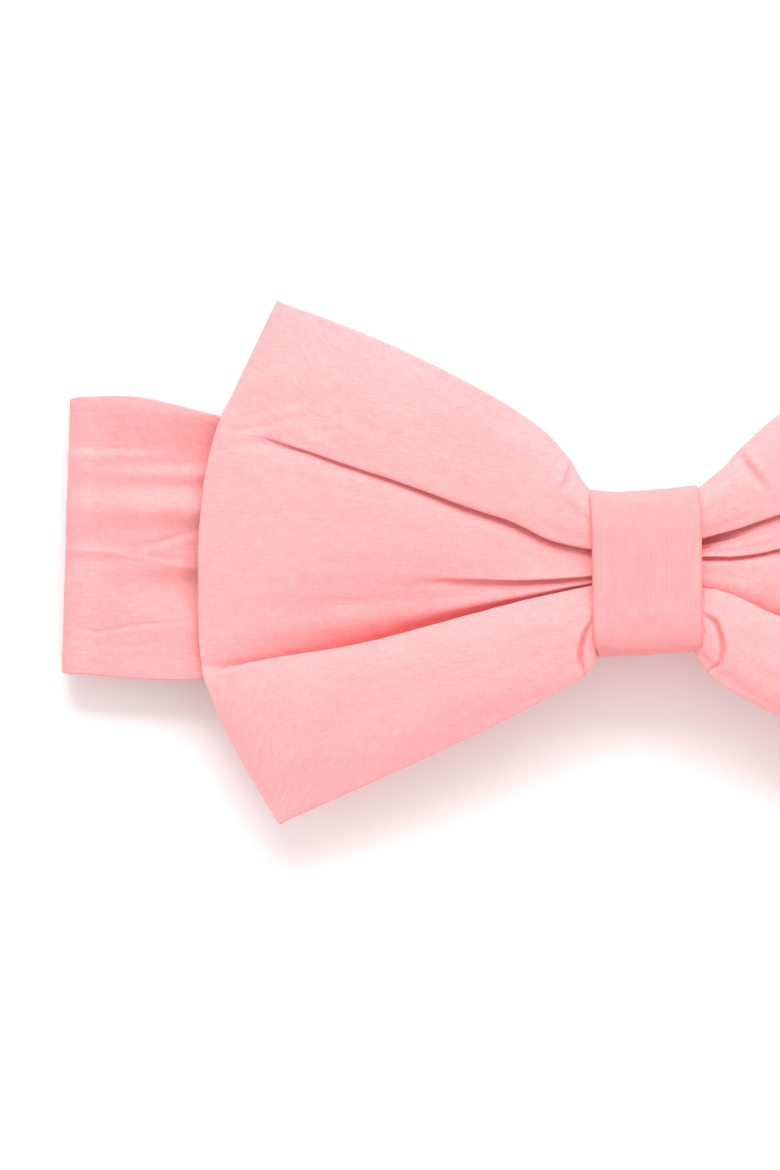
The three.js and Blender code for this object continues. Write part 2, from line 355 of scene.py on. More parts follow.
def band_wrinkles(along, share, y, seed):
    """How far the face ply stands off its level place, in millimetres."""
    reach, _, turn = band_path(along)
    ends = 62 + 20 * lattice_noise(share * 7.3, seed + 0 * reach, seed + 5)
    gathered = 1 - smoothstep(reach, knot_half, ends)
    spacing = 0.75 * lattice_noise(share * 3.4, along / 70, seed)
    spacing = spacing + 0.2 * lattice_noise(share * 9, along / 22, seed)
    depth = 0.7 + 0.3 * lattice_noise(share * 5.7, along / 34, seed + 6)
    pleats = np.cos(2 * np.pi * (share * 11 + spacing)) * depth
    laid = (1.35 * face_at_fold(y)
            + (1.15 * face_by_bow(y) - 1.35 * face_at_fold(y)) * (1 - smoothstep(reach, 90, 119)))
    laid = laid * smoothstep(along, 55, 92) * (1 - smoothstep(turn, 0.2 * np.pi, 0.7 * np.pi))
    sway = lattice_noise(along / 26, share * 4, seed + 1)
    fine = lattice_noise(along / 13, share * 24 + along * 0.03 + sway, seed + 2)
    finest = lattice_noise(along / 7, share * 52 + along * 0.05 + 2 * sway, seed + 3)
    waves = lattice_noise(along / 45 + 3, share * 6, seed + 4)
    return 1.45 * gathered * pleats + laid + 0.12 * waves + 0.07 * fine + 0.03 * finest


def band_piece(name, side, start, end, steps, seed, creases=()):
    """A stretch of the band, on the side given by -1 or 1, between two lengths along it."""
    across = 240
    along = np.linspace(start, end, steps)[:, None]
    share = (1 - np.cos(np.linspace(0, np.pi, across))) / 2
    share = 0.3 * share + 0.7 * np.linspace(0, 1, across)
    low, high = band_edges(along)
    y = low + (high - low) * share
    reach, height, turn = band_path(along)
    inset = np.minimum(share, 1 - share) * (high - low)
    thick = half_ply * np.sqrt(np.clip(1 - (1 - np.clip(inset / 0.35, 0, 1)) ** 2, 0, 1))
    stand = band_wrinkles(along, share, y, seed) * (0.3 + 0.7 * smoothstep(inset, 0, 3))
    for mark in creases:
        stand = stand + crease(reach * np.ones_like(y), y, *mark)
    stand = stand * (1 - 0.8 * np.sin(turn) ** 2)
    front = turn < 0.5 * np.pi
    stand = np.where(front & (reach < 86), np.minimum(stand, 0.4), stand)
    behind = smoothstep(turn, 0.6 * np.pi, np.pi)
    stand = stand * (1 - behind) - np.abs(stand) * behind * 0.5
    up_band = (y - band_low[1]) / (band_high[1] - band_low[1])
    slant = smoothstep(reach, 96, fold_x) * (1.7 * up_band - 0.6)
    rings = []
    for offset in (thick + stand, -thick + 0.35 * stand):
        x = side * (reach + offset * np.sin(turn) - slant)
        z = height + offset * np.cos(turn)
        rings.append(np.stack([x * np.ones_like(y), y, z * np.ones_like(y)], -1))
    ring = np.concatenate([rings[0], rings[1][:, -2:0:-1]], 1)
    laid = np.stack([along + 0 * y, share * laid_height + 0 * y], -1)
    cloth_map = np.concatenate([laid, laid[:, -2:0:-1] + [0, 80]], 1)
    piece = cloth_mesh(name, ring, cloth_map, band_cotton)
    return piece


back_split = 2 * fold_x + 2 * quarter_fold - band_split

# Each crease: the points it runs through, its depth, its width and the rise beside it.
band_creases = [
    ([(90, -1.8), (96, -1.0), (103, 0.6), (110, 1.8), (116, 2.6)], -0.2, 0.5, 0.8),
    ([(106, 2.2), (100, 4.2), (92, 6.4)], 0.4, 0.7),
    ([(119, -13.2), (113, -14.6), (104, -13), (94, -12.3)], 0.3, 0.42),
    ([(117, 22.6), (110, 23.4), (101, 23)], 0.24, 0.5),
    ([(116, -17), (108, -17.6), (98, -16.9)], 0.1, 0.4),
]
for side, name in ((-1, "left"), (1, "right")):
    centre = "front_centre" if side < 0 else "front_right_centre"
    seed = 11 if side < 0 else 47
    marks = band_creases if side < 0 else band_creases[:2]
    front = band_piece(f"band_front_{name}", side, 0.1, band_split, 120, seed, marks)
    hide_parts(f"waist_{name}_face", f"waist_{name}_lining")
    end = band_piece(f"band_end_{name}", side, band_split, back_split, 190, seed, marks)
    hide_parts(f"front_{name}_face", f"front_{name}_lining",
                f"fold_{name}_face", f"fold_{name}_lining")
    back = band_piece(f"band_back_{name}", side, back_split, band_length, 80, seed, marks)
    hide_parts(f"back_{name}_outer", f"back_{name}_lining")
    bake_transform(front)
    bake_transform(end)
    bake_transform(back)


# --- The loops of the bow ----------------------------------------------------------------------
# Each loop is a cotton pillow with soft wadding. Its outer edge is a flat fold. Towards the knot
# the front is laid in pleats: an upper lobe that overhangs the middle, a narrow fold, and a lower
# lobe whose upper edge stands over the middle.

def spline_rows(controls, places):
    """Rows of weights that turn so many control points into a smooth line at the places, 0 to 1."""
    padded = [0, 0, *range(controls), controls - 1, controls - 1]
    along = np.asarray(places) * (len(padded) - 3 - 1e-9)
    rows = np.zeros((len(along), controls))
    for row, value in enumerate(along):
        first = int(value)
        t = value - first
        shares = ((1 - t) ** 3, 3 * t**3 - 6 * t**2 + 4, -3 * t**3 + 3 * t**2 + 3 * t + 1, t**3)
        for k, amount in enumerate(shares):
            rows[row, padded[first + k]] += amount / 6
    return rows


def mix(a, b, t):
    """The value a share t of the way from a to b."""
    return a + (b - a) * t


def loop_sections(shape, u):
    """Control points of a loop's front for each share u of the way out: their places across the
    cloth and the points (y, z), with each fold opened out flat as far as the shape says."""
    def at_share(line, far):
        return shape[line](loop_start + (far - loop_start) * u)

    low, high = at_share("lower_edge", loop_corner), at_share("upper_edge", loop_corner)
    lower = at_share("lower_fold", lower_fold_end)
    upper = at_share("upper_fold", upper_fold_end)
    narrow = at_share("narrow_fold", loop_bulge)
    top, bottom = shape["upper_crest"](u), shape["lower_crest"](u)
    lower_lip, upper_lip = shape["lower_lip"](u), shape["upper_lip"](u)
    ridge, trough = shape["middle_high"](u), shape["middle_low"](u)
    edge = shape["edge_level"](u)
    middle = edge - 0.5
    roll = shape["roll"](u)
    tuck_low, tuck_high = shape["tuck_low"](u), shape["tuck_high"](u)
    small = 0.45 * roll
    gap = shape["narrow_tuck"](u)
    groove = shape["groove"](u)
    sill = shape["narrow_level"](u)
    under = sill - groove
    strip = sill - shape["strip_drop"](u)
    plunge = shape["plunge"](u)
    notch = shape["notch"]
    rim = shape["upper_rim"](u)
    lower_open = shape["lower_open"](u)
    upper_open = shape["upper_open"](u)
    narrow_open = shape["narrow_open"](u)
    still = np.zeros_like(u)

    # From the lower edge to the upper: the share across the cloth, y, z and how far it has opened.
    rows = [
        (0.000, low, middle, still),
        (0.004, low, edge - 0.1, still),
        (0.016, low + 0.8, edge + 0.1, still),
        (0.065, mix(low, lower, 0.24), mix(edge, bottom, 0.75), still),
        (0.140, mix(low, lower, 0.52), bottom - 0.1, still),
        (0.200, mix(low, lower, 0.78), bottom + 0.1, still),
        (0.245, lower - 2.3 * roll, lower_lip + 0.3, lower_open),
        (0.260, lower - 0.7 * roll, lower_lip + 0.1, lower_open),
        (0.268, lower + 0.45 * roll, lower_lip - 0.25 * roll, lower_open),
        (0.275, lower + 0.45 * roll, lower_lip - 1.8 * roll, lower_open),
        (0.282, lower - 0.9 * roll, lower_lip - 2.1 * roll, lower_open),
        (0.292, lower - 0.6 * tuck_low, lower_lip - 2.3 * roll, lower_open),
        (0.300, lower - tuck_low - 0.6, mix(lower_lip - 2.3 * roll, trough, 0.3), lower_open),
        (0.307, lower - tuck_low - 0.3, trough - 0.7, lower_open),
        (0.314, lower - 0.5 * tuck_low, trough - 0.6, lower_open),
        (0.322, lower - 0.2, trough - 0.2, lower_open),
        (0.331, lower + 0.4 + 0.3 * u, mix(trough, strip, 0.4 * plunge), lower_open),
        (0.345, mix(lower, narrow, 0.22), mix(trough, strip, plunge), lower_open),
        (0.364, mix(lower, narrow, 0.42), strip, lower_open),
        (0.392, mix(lower, narrow, 0.66), mix(strip, under, 0.5), narrow_open),
        (0.412, narrow - 0.9, under, narrow_open),
        (0.424, narrow - 0.3, under - notch, narrow_open),
        (0.436, narrow + gap, under - notch, narrow_open),
        (0.443, narrow + 0.6 * gap, sill - 2.2 * small - 0.2, narrow_open),
        (0.450, narrow - 0.4 * small, sill - 1.7 * small - 0.1, narrow_open),
        (0.457, narrow - 0.4 * small, sill + 0.1 * small, narrow_open),
        (0.475, narrow + 1.6 * small, sill + 0.5 * small, narrow_open),
        (0.560, mix(narrow, upper, 0.42), mix(sill, ridge, 0.75), narrow_open),
        (0.660, mix(narrow, upper, 0.78), ridge + 0.1, upper_open * 0.5),
        (0.704, upper - 2.2, ridge, upper_open),
        (0.714, upper - 0.8, ridge - 0.4, upper_open),
        (0.721, upper, ridge - 1.3, upper_open),
        (0.728, upper + 0.5 * tuck_high, ridge - 1.5, upper_open),
        (0.735, upper + tuck_high + 0.3, ridge - 1.3, upper_open),
        (0.741, upper + tuck_high + 0.6, mix(upper_lip - 2.3 * roll, ridge - 1, 0.3), upper_open),
        (0.748, upper + 0.6 * tuck_high, upper_lip - 2.3 * roll, upper_open),
        (0.755, upper + 0.9 * roll, upper_lip - 2.1 * roll, upper_open),
        (0.762, upper - 0.45 * roll, upper_lip - 1.8 * roll, upper_open),
        (0.769, upper - 0.45 * roll, upper_lip - 0.25 * roll, upper_open),
        (0.776, upper + 0.7 * roll, upper_lip + 0.1, upper_open),
        (0.790, upper + 2.3 * roll, upper_lip + 0.3, upper_open),
        (0.835, mix(upper, high, 0.26), mix(upper_lip, top, 0.8), still),
        (0.890, mix(upper, high, 0.52), top, still),
        (0.940, mix(upper, high, 0.77), mix(rim, top, 0.75), still),
        (0.984, high - 0.8, rim + 0.1, still),
        (0.996, high, rim - 0.1, still),
        (1.000, high, rim - 0.5, still),
    ]
    places = np.array([row[0] for row in rows])
    y = np.stack([row[1] + still for row in rows], 1)
    z = np.stack([row[2] + still for row in rows], 1)
    opened = np.stack([row[3] + still for row in rows], 1)
    flat_y = low[:, None] + (high - low)[:, None] * places
    flat_z = lower_lip[:, None] + np.outer(trough - lower_lip, smoothstep(places, 0.25, 0.31))
    flat_z = flat_z + np.outer(ridge - trough, 1 - (1 - np.clip((places - 0.31) / 0.35, 0, 1)) ** 2.2)
    flat_z = flat_z + np.outer(upper_lip - ridge, smoothstep(places, 0.7, 0.79))
    flat_z = np.where((places > 0.24) & (places < 0.8), flat_z, z)
    return places, y + (flat_y - y) * opened, z + (flat_z - z) * opened


loop_base = cad_mm("bow_left_back")[0][2] + 0.3
loop_start = knot_half - 0.1
loop_corner, loop_bulge = 75.4, 92
lower_fold_end, upper_fold_end = 91.3, 88

# How far out the loop's outer edge lies, for a share of the way from its lower corner.
outer_reach = curve_through((0, 75.4), (0.055, 79), (0.12, 83), (0.19, 86.9), (0.25, 89.7),
                            (0.3, 91.4), (0.4, 92.1), (0.515, 92.1), (0.63, 91.2), (0.71, 89.7),
                            (0.776, 87.4), (0.82, 85.1), (0.9, 81), (1, 75.9))


def bow_loop(name, side, shape, creases, seed):
    """One loop, on the side given by -1 or 1."""
    stations, across, rounding = 205, 236, 4
    spread = np.linspace(0, 1, stations)
    u = -0.035 + 1.035 * (0.38 * spread + 0.62 * spread**2)
    inward = np.clip(u, 0, 1)
    places, y_points, z_points = loop_sections(shape, inward)
    dense = spline_rows(len(places), np.linspace(0, 1, 1500))
    y_dense, z_dense = y_points @ dense.T, z_points @ dense.T
    speed = np.hypot(np.diff(y_dense, axis=1), np.diff(z_dense, axis=1)).mean(0)
    run = np.concatenate([[0], np.cumsum(speed + 0.25 * speed.mean())])
    picked = np.interp(np.linspace(0, run[-1], across), run, np.linspace(0, 1, 1500))
    rows = spline_rows(len(places), picked)
    y, z = y_points @ rows.T, z_points @ rows.T
    place = rows @ places
    by_height = np.clip((y - y[:, :1]) / (y[:, -1:] - y[:, :1]), 0, 1)
    settled = place + (by_height - place) * smoothstep(u, 0.7, 0.97)[:, None]
    reach = loop_start + (outer_reach(settled) - loop_start) * u[:, None]
    inside = 3 * smoothstep(-u, 0, 0.035)[:, None]
    y = waist_middle + (y - waist_middle) * (1 - 0.05 * inside)
    z = 16 + (z - 16) * (1 - 0.03 * inside**2)

    # A surface that stands a little off along its own direction, as cloth creases do.
    def off_surface(distance):
        du = np.stack([np.gradient(a, axis=0) for a in (reach, y, z)], -1)
        dv = np.stack([np.gradient(a, axis=1) for a in (reach, y, z)], -1)
        normal = np.cross(du, dv)
        normal /= np.linalg.norm(normal, axis=-1, keepdims=True) + 1e-12
        return [a + distance * normal[..., k] for k, a in enumerate((reach, y, z))]

    out = u[:, None] * np.ones_like(place)
    radial = place * 26 + 0.8 * lattice_noise(out * 3, place * 5, seed)
    streaks = lattice_noise(out * 3.2 + 5, radial, seed + 1)
    fine = lattice_noise(out * 9, place * 60, seed + 2)
    finest = lattice_noise(reach / 6 + 0.3 * y, y / 2.2, seed + 3)
    near_knot = np.exp(-np.clip(out, 0, 1) / 0.2)
    slanting = lattice_noise((reach + y) / 14 + 9, (reach - 1.3 * y) / 3.6 + seed, seed + 6)
    crinkled = np.exp(-((reach - 74) ** 2 + (y - 22) ** 2) / 230)
    stand = (0.1 + 0.2 * near_knot) * streaks + 0.04 * fine + (0.04 + 0.05 * crinkled) * finest
    stand = stand + (0.05 + 0.16 * crinkled) * slanting
    edge_fade = smoothstep(np.minimum(place, 1 - place), 0.0, 0.035)
    stand = stand * (0.3 + 0.7 * edge_fade) * (1 - 0.5 * smoothstep(out, 0.93, 1))
    for mark in creases:
        stand = stand + crease(reach, y, *mark)
    stand = stand * smoothstep(u, -0.02, 0.02)[:, None]
    stand[:, 0] = stand[:, -1] = 0
    reach, y, z = off_surface(stand)

    # The back of the loop: a plain ply that touches the front at both edges.
    sag = 0.5 * lattice_noise(reach / 22, y / 16, seed + 5) * edge_fade
    back_y = y[:, :1] + (y[:, -1:] - y[:, :1]) * np.linspace(0, 1, across)
    back_share = np.linspace(0, 1, across)
    back_reach = loop_start + (outer_reach(back_share) - loop_start) * u[:, None]
    rim = np.minimum(back_share, 1 - back_share) * (y[:, -1:] - y[:, :1])
    rim_share = np.clip(rim / 9, 0, 1)
    rim_level = z[:, :1] + (z[:, -1:] - z[:, :1]) * back_share
    back_z = rim_level + (loop_base - rim_level) * rim_share * (2 - rim_share)
    back_z = back_z + np.abs(sag) * 0.6 * rim_share
    rising = np.maximum.accumulate(y, 1)
    front_over = np.stack([np.interp(b, f, h) for b, f, h in zip(back_y, rising, z)])
    reach_over = np.stack([np.interp(b, f, h) for b, f, h in zip(back_y, rising, reach)])
    closing = smoothstep(u, 0.8, 1.0)[:, None]
    back_z = back_z + (front_over - 1.0 - back_z) * closing**2
    back_reach = back_reach + (reach_over - 0.1 - back_reach) * closing
    rings = []
    for i in range(stations + rounding):
        k = min(i, stations - 1)
        angle = 0.5 * np.pi * max(0, i - stations + 1) / rounding
        depth = 0.5 * math.sin(angle) - 0.5
        shrink = math.cos(angle)
        mid = (z[k] + back_z[k]) / 2
        move = depth * smoothstep(u[k], 0.97, 1)
        front_ring = np.stack([side * (reach[k] + move), y[k], mid + (z[k] - mid) * shrink], -1)
        back_ring = np.stack([side * (back_reach[k] + move), back_y[k],
                              mid + (back_z[k] - mid) * shrink], -1)
        if i >= stations:
            back_ring = back_ring + (front_ring - back_ring) * (1 - shrink)
        rings.append(np.concatenate([front_ring, back_ring[-2:0:-1]]))
    step_y = np.diff(y, axis=1, prepend=y[:, :1])
    step_z = np.diff(z, axis=1, prepend=z[:, :1])
    arc = np.cumsum(np.hypot(step_y, step_z), axis=1)
    arc = arc - arc[:, across // 2 : across // 2 + 1]
    arc = np.concatenate([arc, np.repeat(arc[-1:], rounding, 0)])
    out_map = np.concatenate([reach, np.repeat(reach[-1:], rounding, 0)])
    front_map = np.stack([out_map, arc], -1)
    back_map = np.stack([np.concatenate([back_reach, np.repeat(back_reach[-1:], rounding, 0)]),
                         np.concatenate([back_y, np.repeat(back_y[-1:], rounding, 0)])], -1)
    cloth_map = np.concatenate([front_map, back_map[:, -2:0:-1]], 1)
    piece = cloth_mesh(name, np.array(rings), cloth_map, bow_cotton)
    return piece


# Heights of a loop's parts, and how open its folds are, for a share of the way out.
common_shape = {
    "upper_crest": curve_through((0, 24.3), (0.08, 24.8), (0.25, 24.8), (0.5, 23.5), (0.75, 20.9),
        (0.9, 18), (1, 15)),
    "lower_crest": curve_through((0, 24.2), (0.1, 24.5), (0.28, 24.3), (0.52, 22.8), (0.78, 20),
        (0.9, 17.9), (1, 15)),
    "upper_lip": curve_through((0, 23.4), (0.12, 23.6), (0.3, 23.4), (0.55, 22.2), (0.8, 19.2), (1, 15)),
    "middle_high": curve_through((0, 21.6), (0.15, 21.8), (0.3, 22), (0.55, 21.4), (0.8, 19),
        (0.9, 17.2), (1, 14.6)),
    "narrow_level": curve_through((0, 22.2), (0.2, 21.5), (0.45, 19.8), (0.7, 17.9), (0.88, 15.9),
        (1, 14.2)),
    "middle_low": curve_through((0, 20.2), (0.15, 18.8), (0.3, 16), (0.5, 13), (0.6, 12.7), (1, 12.8)),
    "lower_lip": curve_through((0, 22.6), (0.12, 23), (0.3, 22.6), (0.55, 20.6), (0.8, 17.8), (1, 14.9)),
    "edge_level": curve_through((0, 22), (0.12, 21.9), (0.3, 21), (0.55, 19), (0.8, 17), (1, 14.9)),
    "roll": curve_through((0, 0.45), (0.3, 0.5), (0.7, 0.4), (1, 0.3)),
    "tuck_low": curve_through((0, 4.5), (0.3, 6), (0.7, 3.5), (1, 1)),
    "tuck_high": curve_through((0, 3.5), (0.3, 5), (0.7, 3), (1, 1)),
    "narrow_tuck": curve_through((0, 1.4), (0.2, 1.8), (0.45, 0.6)),
    "groove": curve_through((0, 1.2), (0.1, 1.8), (0.3, 1.7), (0.42, 0.9), (0.55, 0)),
    "strip_drop": curve_through((0, 0.9), (0.13, 1.1), (0.29, 1.5), (0.45, 2.7), (0.63, 2.1), (1, 1)),
    "plunge": curve_through((0, 0.9), (0.3, 0.88), (0.45, 0.8), (0.63, 0.56), (1, 0.5)),
    "notch": 0.6,
    "upper_rim": curve_through((0, 22.8), (0.3, 22.7), (0.55, 21), (0.8, 18.3), (1, 14.9)),
    "lower_open": curve_through((0, 0), (0.78, 0), (0.9, 0.12), (1, 0.7)),
    "upper_open": curve_through((0, 0), (0.76, 0), (0.84, 0.3), (0.92, 0.9), (1, 1)),
    "narrow_open": curve_through((0, 0), (0.15, 0), (0.3, 0.35), (0.45, 0.9), (0.6, 1)),
}

# Edges and folds run through these points, seen from above.
left_shape = dict(
    common_shape,
    upper_edge=curve_through((11.3, 14.5), (13.4, 17.2), (15.5, 20.8), (21.6, 27.4), (38, 37.6),
        (56, 46.3), (75.6, 53.9)),
    lower_edge=curve_through((9.5, -19.4), (11.3, -21.8), (12.7, -23.4), (18.3, -26.8), (34, -35),
        (54, -44.4), (75.4, -54.1)),
    lower_fold=curve_through((11.3, -5), (17.5, -6.3), (27, -8.6), (41.4, -12.4), (58.3, -16.8),
        (77.7, -20.1), (91.3, -22.4)),
    upper_fold=curve_through((11.1, 2.7), (19, 4.4), (27.6, 8.1), (38.3, 11.8), (46.5, 14.9),
        (53.5, 17.4), (62.6, 20.3), (71.7, 23.4), (88, 26)),
    narrow_fold=curve_through((11.3, -2.9), (24.5, -3.7), (41.4, -4.1), (92, -5)),
)
right_shape = dict(
    common_shape,
    upper_edge=curve_through((11.3, 15.6), (15.5, 19.2), (19.6, 23.6), (27.6, 30.6), (38, 37.0),
        (56, 46.3), (75.6, 53.9)),
    lower_edge=curve_through((11.3, -20.4), (12.6, -22.6), (14.6, -24.5), (21.6, -28.8), (34, -35),
        (54, -44.4), (75.4, -54.1)),
    lower_fold=curve_through((11.3, -5.6), (14.2, -5.9), (19.4, -7.7), (27.8, -11.4), (58, -17.6),
        (91.3, -22.6)),
    upper_fold=curve_through((11.3, 4.7), (17.7, 6.5), (27.8, 9.9), (49, 15.7), (72, 23.6), (88, 28)),
    narrow_fold=curve_through((11.3, 0.9), (16.7, 0.9), (22.7, 1.6), (27.8, 2.9), (45, 6.5), (92, 11)),
    middle_high=curve_through((0, 19.6), (0.07, 21.2), (0.16, 22.2), (0.25, 22.2), (0.55, 20.2),
        (0.8, 17.9), (1, 15.5)),
    middle_low=curve_through((0, 20.8), (0.12, 19.6), (0.3, 16), (0.5, 13.2), (0.8, 12.8), (1, 13.2)),
    groove=curve_through((0, 0.2), (0.15, 0.3), (0.22, 1), (0.3, 0.9), (0.5, 0)),
    strip_drop=curve_through((0, 0.6), (0.2, 1.1), (0.45, 2.2), (0.63, 2.5), (1, 1)),
    plunge=curve_through((0, 0.7), (0.3, 0.6), (1, 0.5)),
    notch=2,
    narrow_open=curve_through((0, 0), (0.3, 0), (0.45, 0.3), (0.6, 0.9), (0.7, 1)),
)
left_creases = [
    ([(15.3, 19.8), (16.3, 17), (16.8, 14.4)], 0.9, 0.5),
    ([(10.6, -11.8), (12.6, -14.7), (13.6, -18.4), (13.4, -21.2), (12.4, -23.8)], 1.7, 0.5, 0.1),
    ([(86, 27.2), (79.3, 27.6), (74, 29.2), (69, 30.4)], 0.3, 0.6),
    ([(83, 29.4), (76, 31.8), (68, 33.4)], 0.14, 0.6),
    ([(86, 10.2), (78, 9.6), (70, 10.2)], 0.12, 0.8),
    ([(74, 33), (68, 28), (61.6, 22)], 0.12, 0.5),
    ([(70.5, 32), (65.5, 27.5)], 0.1, 0.45),
    ([(73, 13.6), (69.6, 10.6)], 0.12, 0.5),
    ([(79.5, -15.5), (74, -19.3)], 0.12, 0.45),
    ([(90.6, -22.9), (84, -23)], -0.12, 0.5),
    ([(70.6, -32.6), (68, -38), (65.4, -43)], 0.1, 0.8),
    ([(49.4, 41.3), (43.4, 38.8)], 0.08, 0.6),
]
right_creases = [
    ([(18.5, 22.4), (21, 19), (22.8, 16.6), (24.5, 14.6)], 1.1, 0.8),
    ([(11.2, -10.6), (14, -12.4), (15.2, -15.4), (15.6, -18.2), (15, -21), (12.2, -22.8)], 1.7, 0.5, 0.1),
]
for side, name, shape, creases, seed in ((-1, "left", left_shape, left_creases, 5),
                                         (1, "right", right_shape, right_creases, 29)):
    loop = bow_loop(f"bow_loop_{name}", side, shape, creases, seed)
    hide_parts(f"bow_{name}_front", f"bow_{name}_back", f"bow_{name}_wadding")
    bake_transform(loop)


# --- The gathered middle of the bow ------------------------------------------------------------
# Inside the knot the bow's cotton is pinched into a bundle of flutes, and thread is whipped round
# it. Both are hidden by the wrap, and seen only if it is taken off.

def rounded_turn(angle, half_high, half_deep, squareness):
    """A point on a squared-off oval, from the angle at which it is seen from its middle."""
    power = 2 / squareness
    return (half_high * np.sign(np.cos(angle)) * np.abs(np.cos(angle)) ** power,
            half_deep * np.sign(np.sin(angle)) * np.abs(np.sin(angle)) ** power)


bundle_low, bundle_high = cad_mm("bow_gather")
bundle_middle = (bundle_low + bundle_high) / 2
bundle_half = (bundle_high - bundle_low) / 2
flutes = 22
turns = np.linspace(0, 2 * np.pi, 264, endpoint=False)
bundle_rings = []
for x in np.linspace(-9.2, 9.2, 24):
    pinch = 1 - 0.07 * np.cos(np.pi * x / 18) - 0.045 * (0.5 + 0.5 * np.cos(flutes * turns + 0.06 * x))
    y, z = rounded_turn(turns, bundle_half[1] * pinch, bundle_half[2] * pinch, 3.2)
    bundle_rings.append(np.stack([x + 0 * y, bundle_middle[1] + y, bundle_middle[2] + z], -1))
bundle_map = [np.stack([ring[:, 0], turns * 14], -1) for ring in bundle_rings]
bundle = cloth_mesh("bow_gather_bundle", bundle_rings, bundle_map, bow_cotton)
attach(bundle, "front_centre")
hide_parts("bow_gather")

# Polyester sewing thread: two strands twisted together, with a soft gloss along the twist.
sewing_thread = bpy.data.materials.new("twisted_polyester_thread")
sewing_thread.use_nodes = True
thread_shader = sewing_thread.node_tree.nodes["Principled BSDF"]
thread_place = add_node(sewing_thread, "ShaderNodeTexCoord").outputs["Object"]
twist = add_node(sewing_thread, "ShaderNodeTexWave", {"bands_direction": "DIAGONAL"},
                 Vector=thread_place, Scale=900.0, Distortion=0.6)
strand = add_node(sewing_thread, "ShaderNodeMix", {"data_type": "RGBA"},
                  _0=twist.outputs["Fac"], _6=linear("#E88C90"), _7=linear("#F6A1A4"))
sewing_thread.node_tree.links.new(strand.outputs[2], thread_shader.inputs["Base Color"])
thread_bump = add_node(sewing_thread, "ShaderNodeBump", Strength=0.3, Distance=0.00005,
                       Height=twist.outputs["Fac"])
sewing_thread.node_tree.links.new(thread_bump.outputs[0], thread_shader.inputs["Normal"])
thread_shader.inputs["Roughness"].default_value = 0.5


def thread_run(name, runs, thickness, body, closed=False):
    """Thread laid along one or more runs of points in millimetres, as one mesh."""
    line = bpy.data.curves.new(name, "CURVE")
    line.dimensions = "3D"
    line.bevel_depth = thickness / 2 * MM
    line.bevel_resolution = 1
    line.use_fill_caps = not closed
    for run in runs:
        spline = line.splines.new("POLY")
        spline.points.add(len(run) - 1)
        for point, place in zip(spline.points, run):
            point.co = (*[float(c) * MM for c in place], 1)
        spline.use_cyclic_u = closed
    laid = bpy.data.objects.new(name, line)
    scene.collection.objects.link(laid)
    bpy.context.view_layer.objects.active = laid
    laid.select_set(True)
    bpy.ops.object.convert(target="MESH")
    laid.select_set(False)
    laid.data.materials.clear()
    laid.data.materials.append(sewing_thread)
    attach(laid, body)
    return laid


whipping = []
for place in np.linspace(-2.3, 2.3, 8):
    y, z = rounded_turn(turns[::6], bundle_half[1] + 0.35, bundle_half[2] + 0.35, 3.2)
    whipping.append([(place + 0.15 * math.sin(k), bundle_middle[1] + a, bundle_middle[2] + b)
                     for k, (a, b) in enumerate(zip(y, z))])
whipped = thread_run("gather_whipping", whipping, 0.5, "front_centre", closed=True)
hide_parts("gather_thread")


# --- The knot ----------------------------------------------------------------------------------
# A strip of fine ribbed jersey, folded under at both edges, goes round the bow and the waist of
# the band. Its ends meet in a flat seam at the back, where two bar tacks hold it to the band.

ribbed_jersey = bpy.data.materials.new("fine_ribbed_jersey")
ribbed_jersey.use_nodes = True
rib_shader = ribbed_jersey.node_tree.nodes["Principled BSDF"]
rib_place = add_node(ribbed_jersey, "ShaderNodeUVMap", {"uv_map": "cloth"}).outputs["UV"]
rib_apart = add_node(ribbed_jersey, "ShaderNodeSeparateXYZ", Vector=rib_place)
rib_drift = add_node(ribbed_jersey, "ShaderNodeTexNoise", Vector=rib_place, Scale=420.0, Detail=4.0)
rib_shift = add_node(ribbed_jersey, "ShaderNodeMath", {"operation": "MULTIPLY_ADD"},
                     _0=rib_drift.outputs["Fac"], _1=0.0007, _2=rib_apart.outputs["X"])
rib_waves = []
for source, spacing in ((rib_shift.outputs[0], 0.56), (rib_apart.outputs["Y"], 0.62)):
    rib_phase = add_node(ribbed_jersey, "ShaderNodeMath", {"operation": "MULTIPLY"},
                         _0=source, _1=2 * math.pi / (spacing * MM))
    rib_waves.append(add_node(ribbed_jersey, "ShaderNodeMath", {"operation": "SINE"},
                              _0=rib_phase.outputs[0]).outputs[0])
stitch_cells = add_node(ribbed_jersey, "ShaderNodeMath", {"operation": "MULTIPLY_ADD"},
                        _0=rib_waves[1], _1=0.28, _2=rib_waves[0])
rib_tone = add_node(ribbed_jersey, "ShaderNodeMath", {"operation": "MULTIPLY_ADD"},
                    _0=stitch_cells.outputs[0], _1=0.2, _2=rib_drift.outputs["Fac"])
rib_colour = add_node(ribbed_jersey, "ShaderNodeMix", {"data_type": "RGBA"},
                      _0=rib_tone.outputs[0], _6=linear("#EA8C8E"), _7=linear("#F89E9F"))
ribbed_jersey.node_tree.links.new(rib_colour.outputs[2], rib_shader.inputs["Base Color"])
rib_bump = add_node(ribbed_jersey, "ShaderNodeBump", Strength=0.5, Distance=0.00012,
                    Height=stitch_cells.outputs[0])
ribbed_jersey.node_tree.links.new(rib_bump.outputs[0], rib_shader.inputs["Normal"])
rib_shader.inputs["Roughness"].default_value = 0.95
rib_shader.inputs["Specular IOR Level"].default_value = 0.2
rib_shader.inputs["Sheen Weight"].default_value = 0.15
rib_shader.inputs["Sheen Tint"].default_value = linear("#FFE3E3")

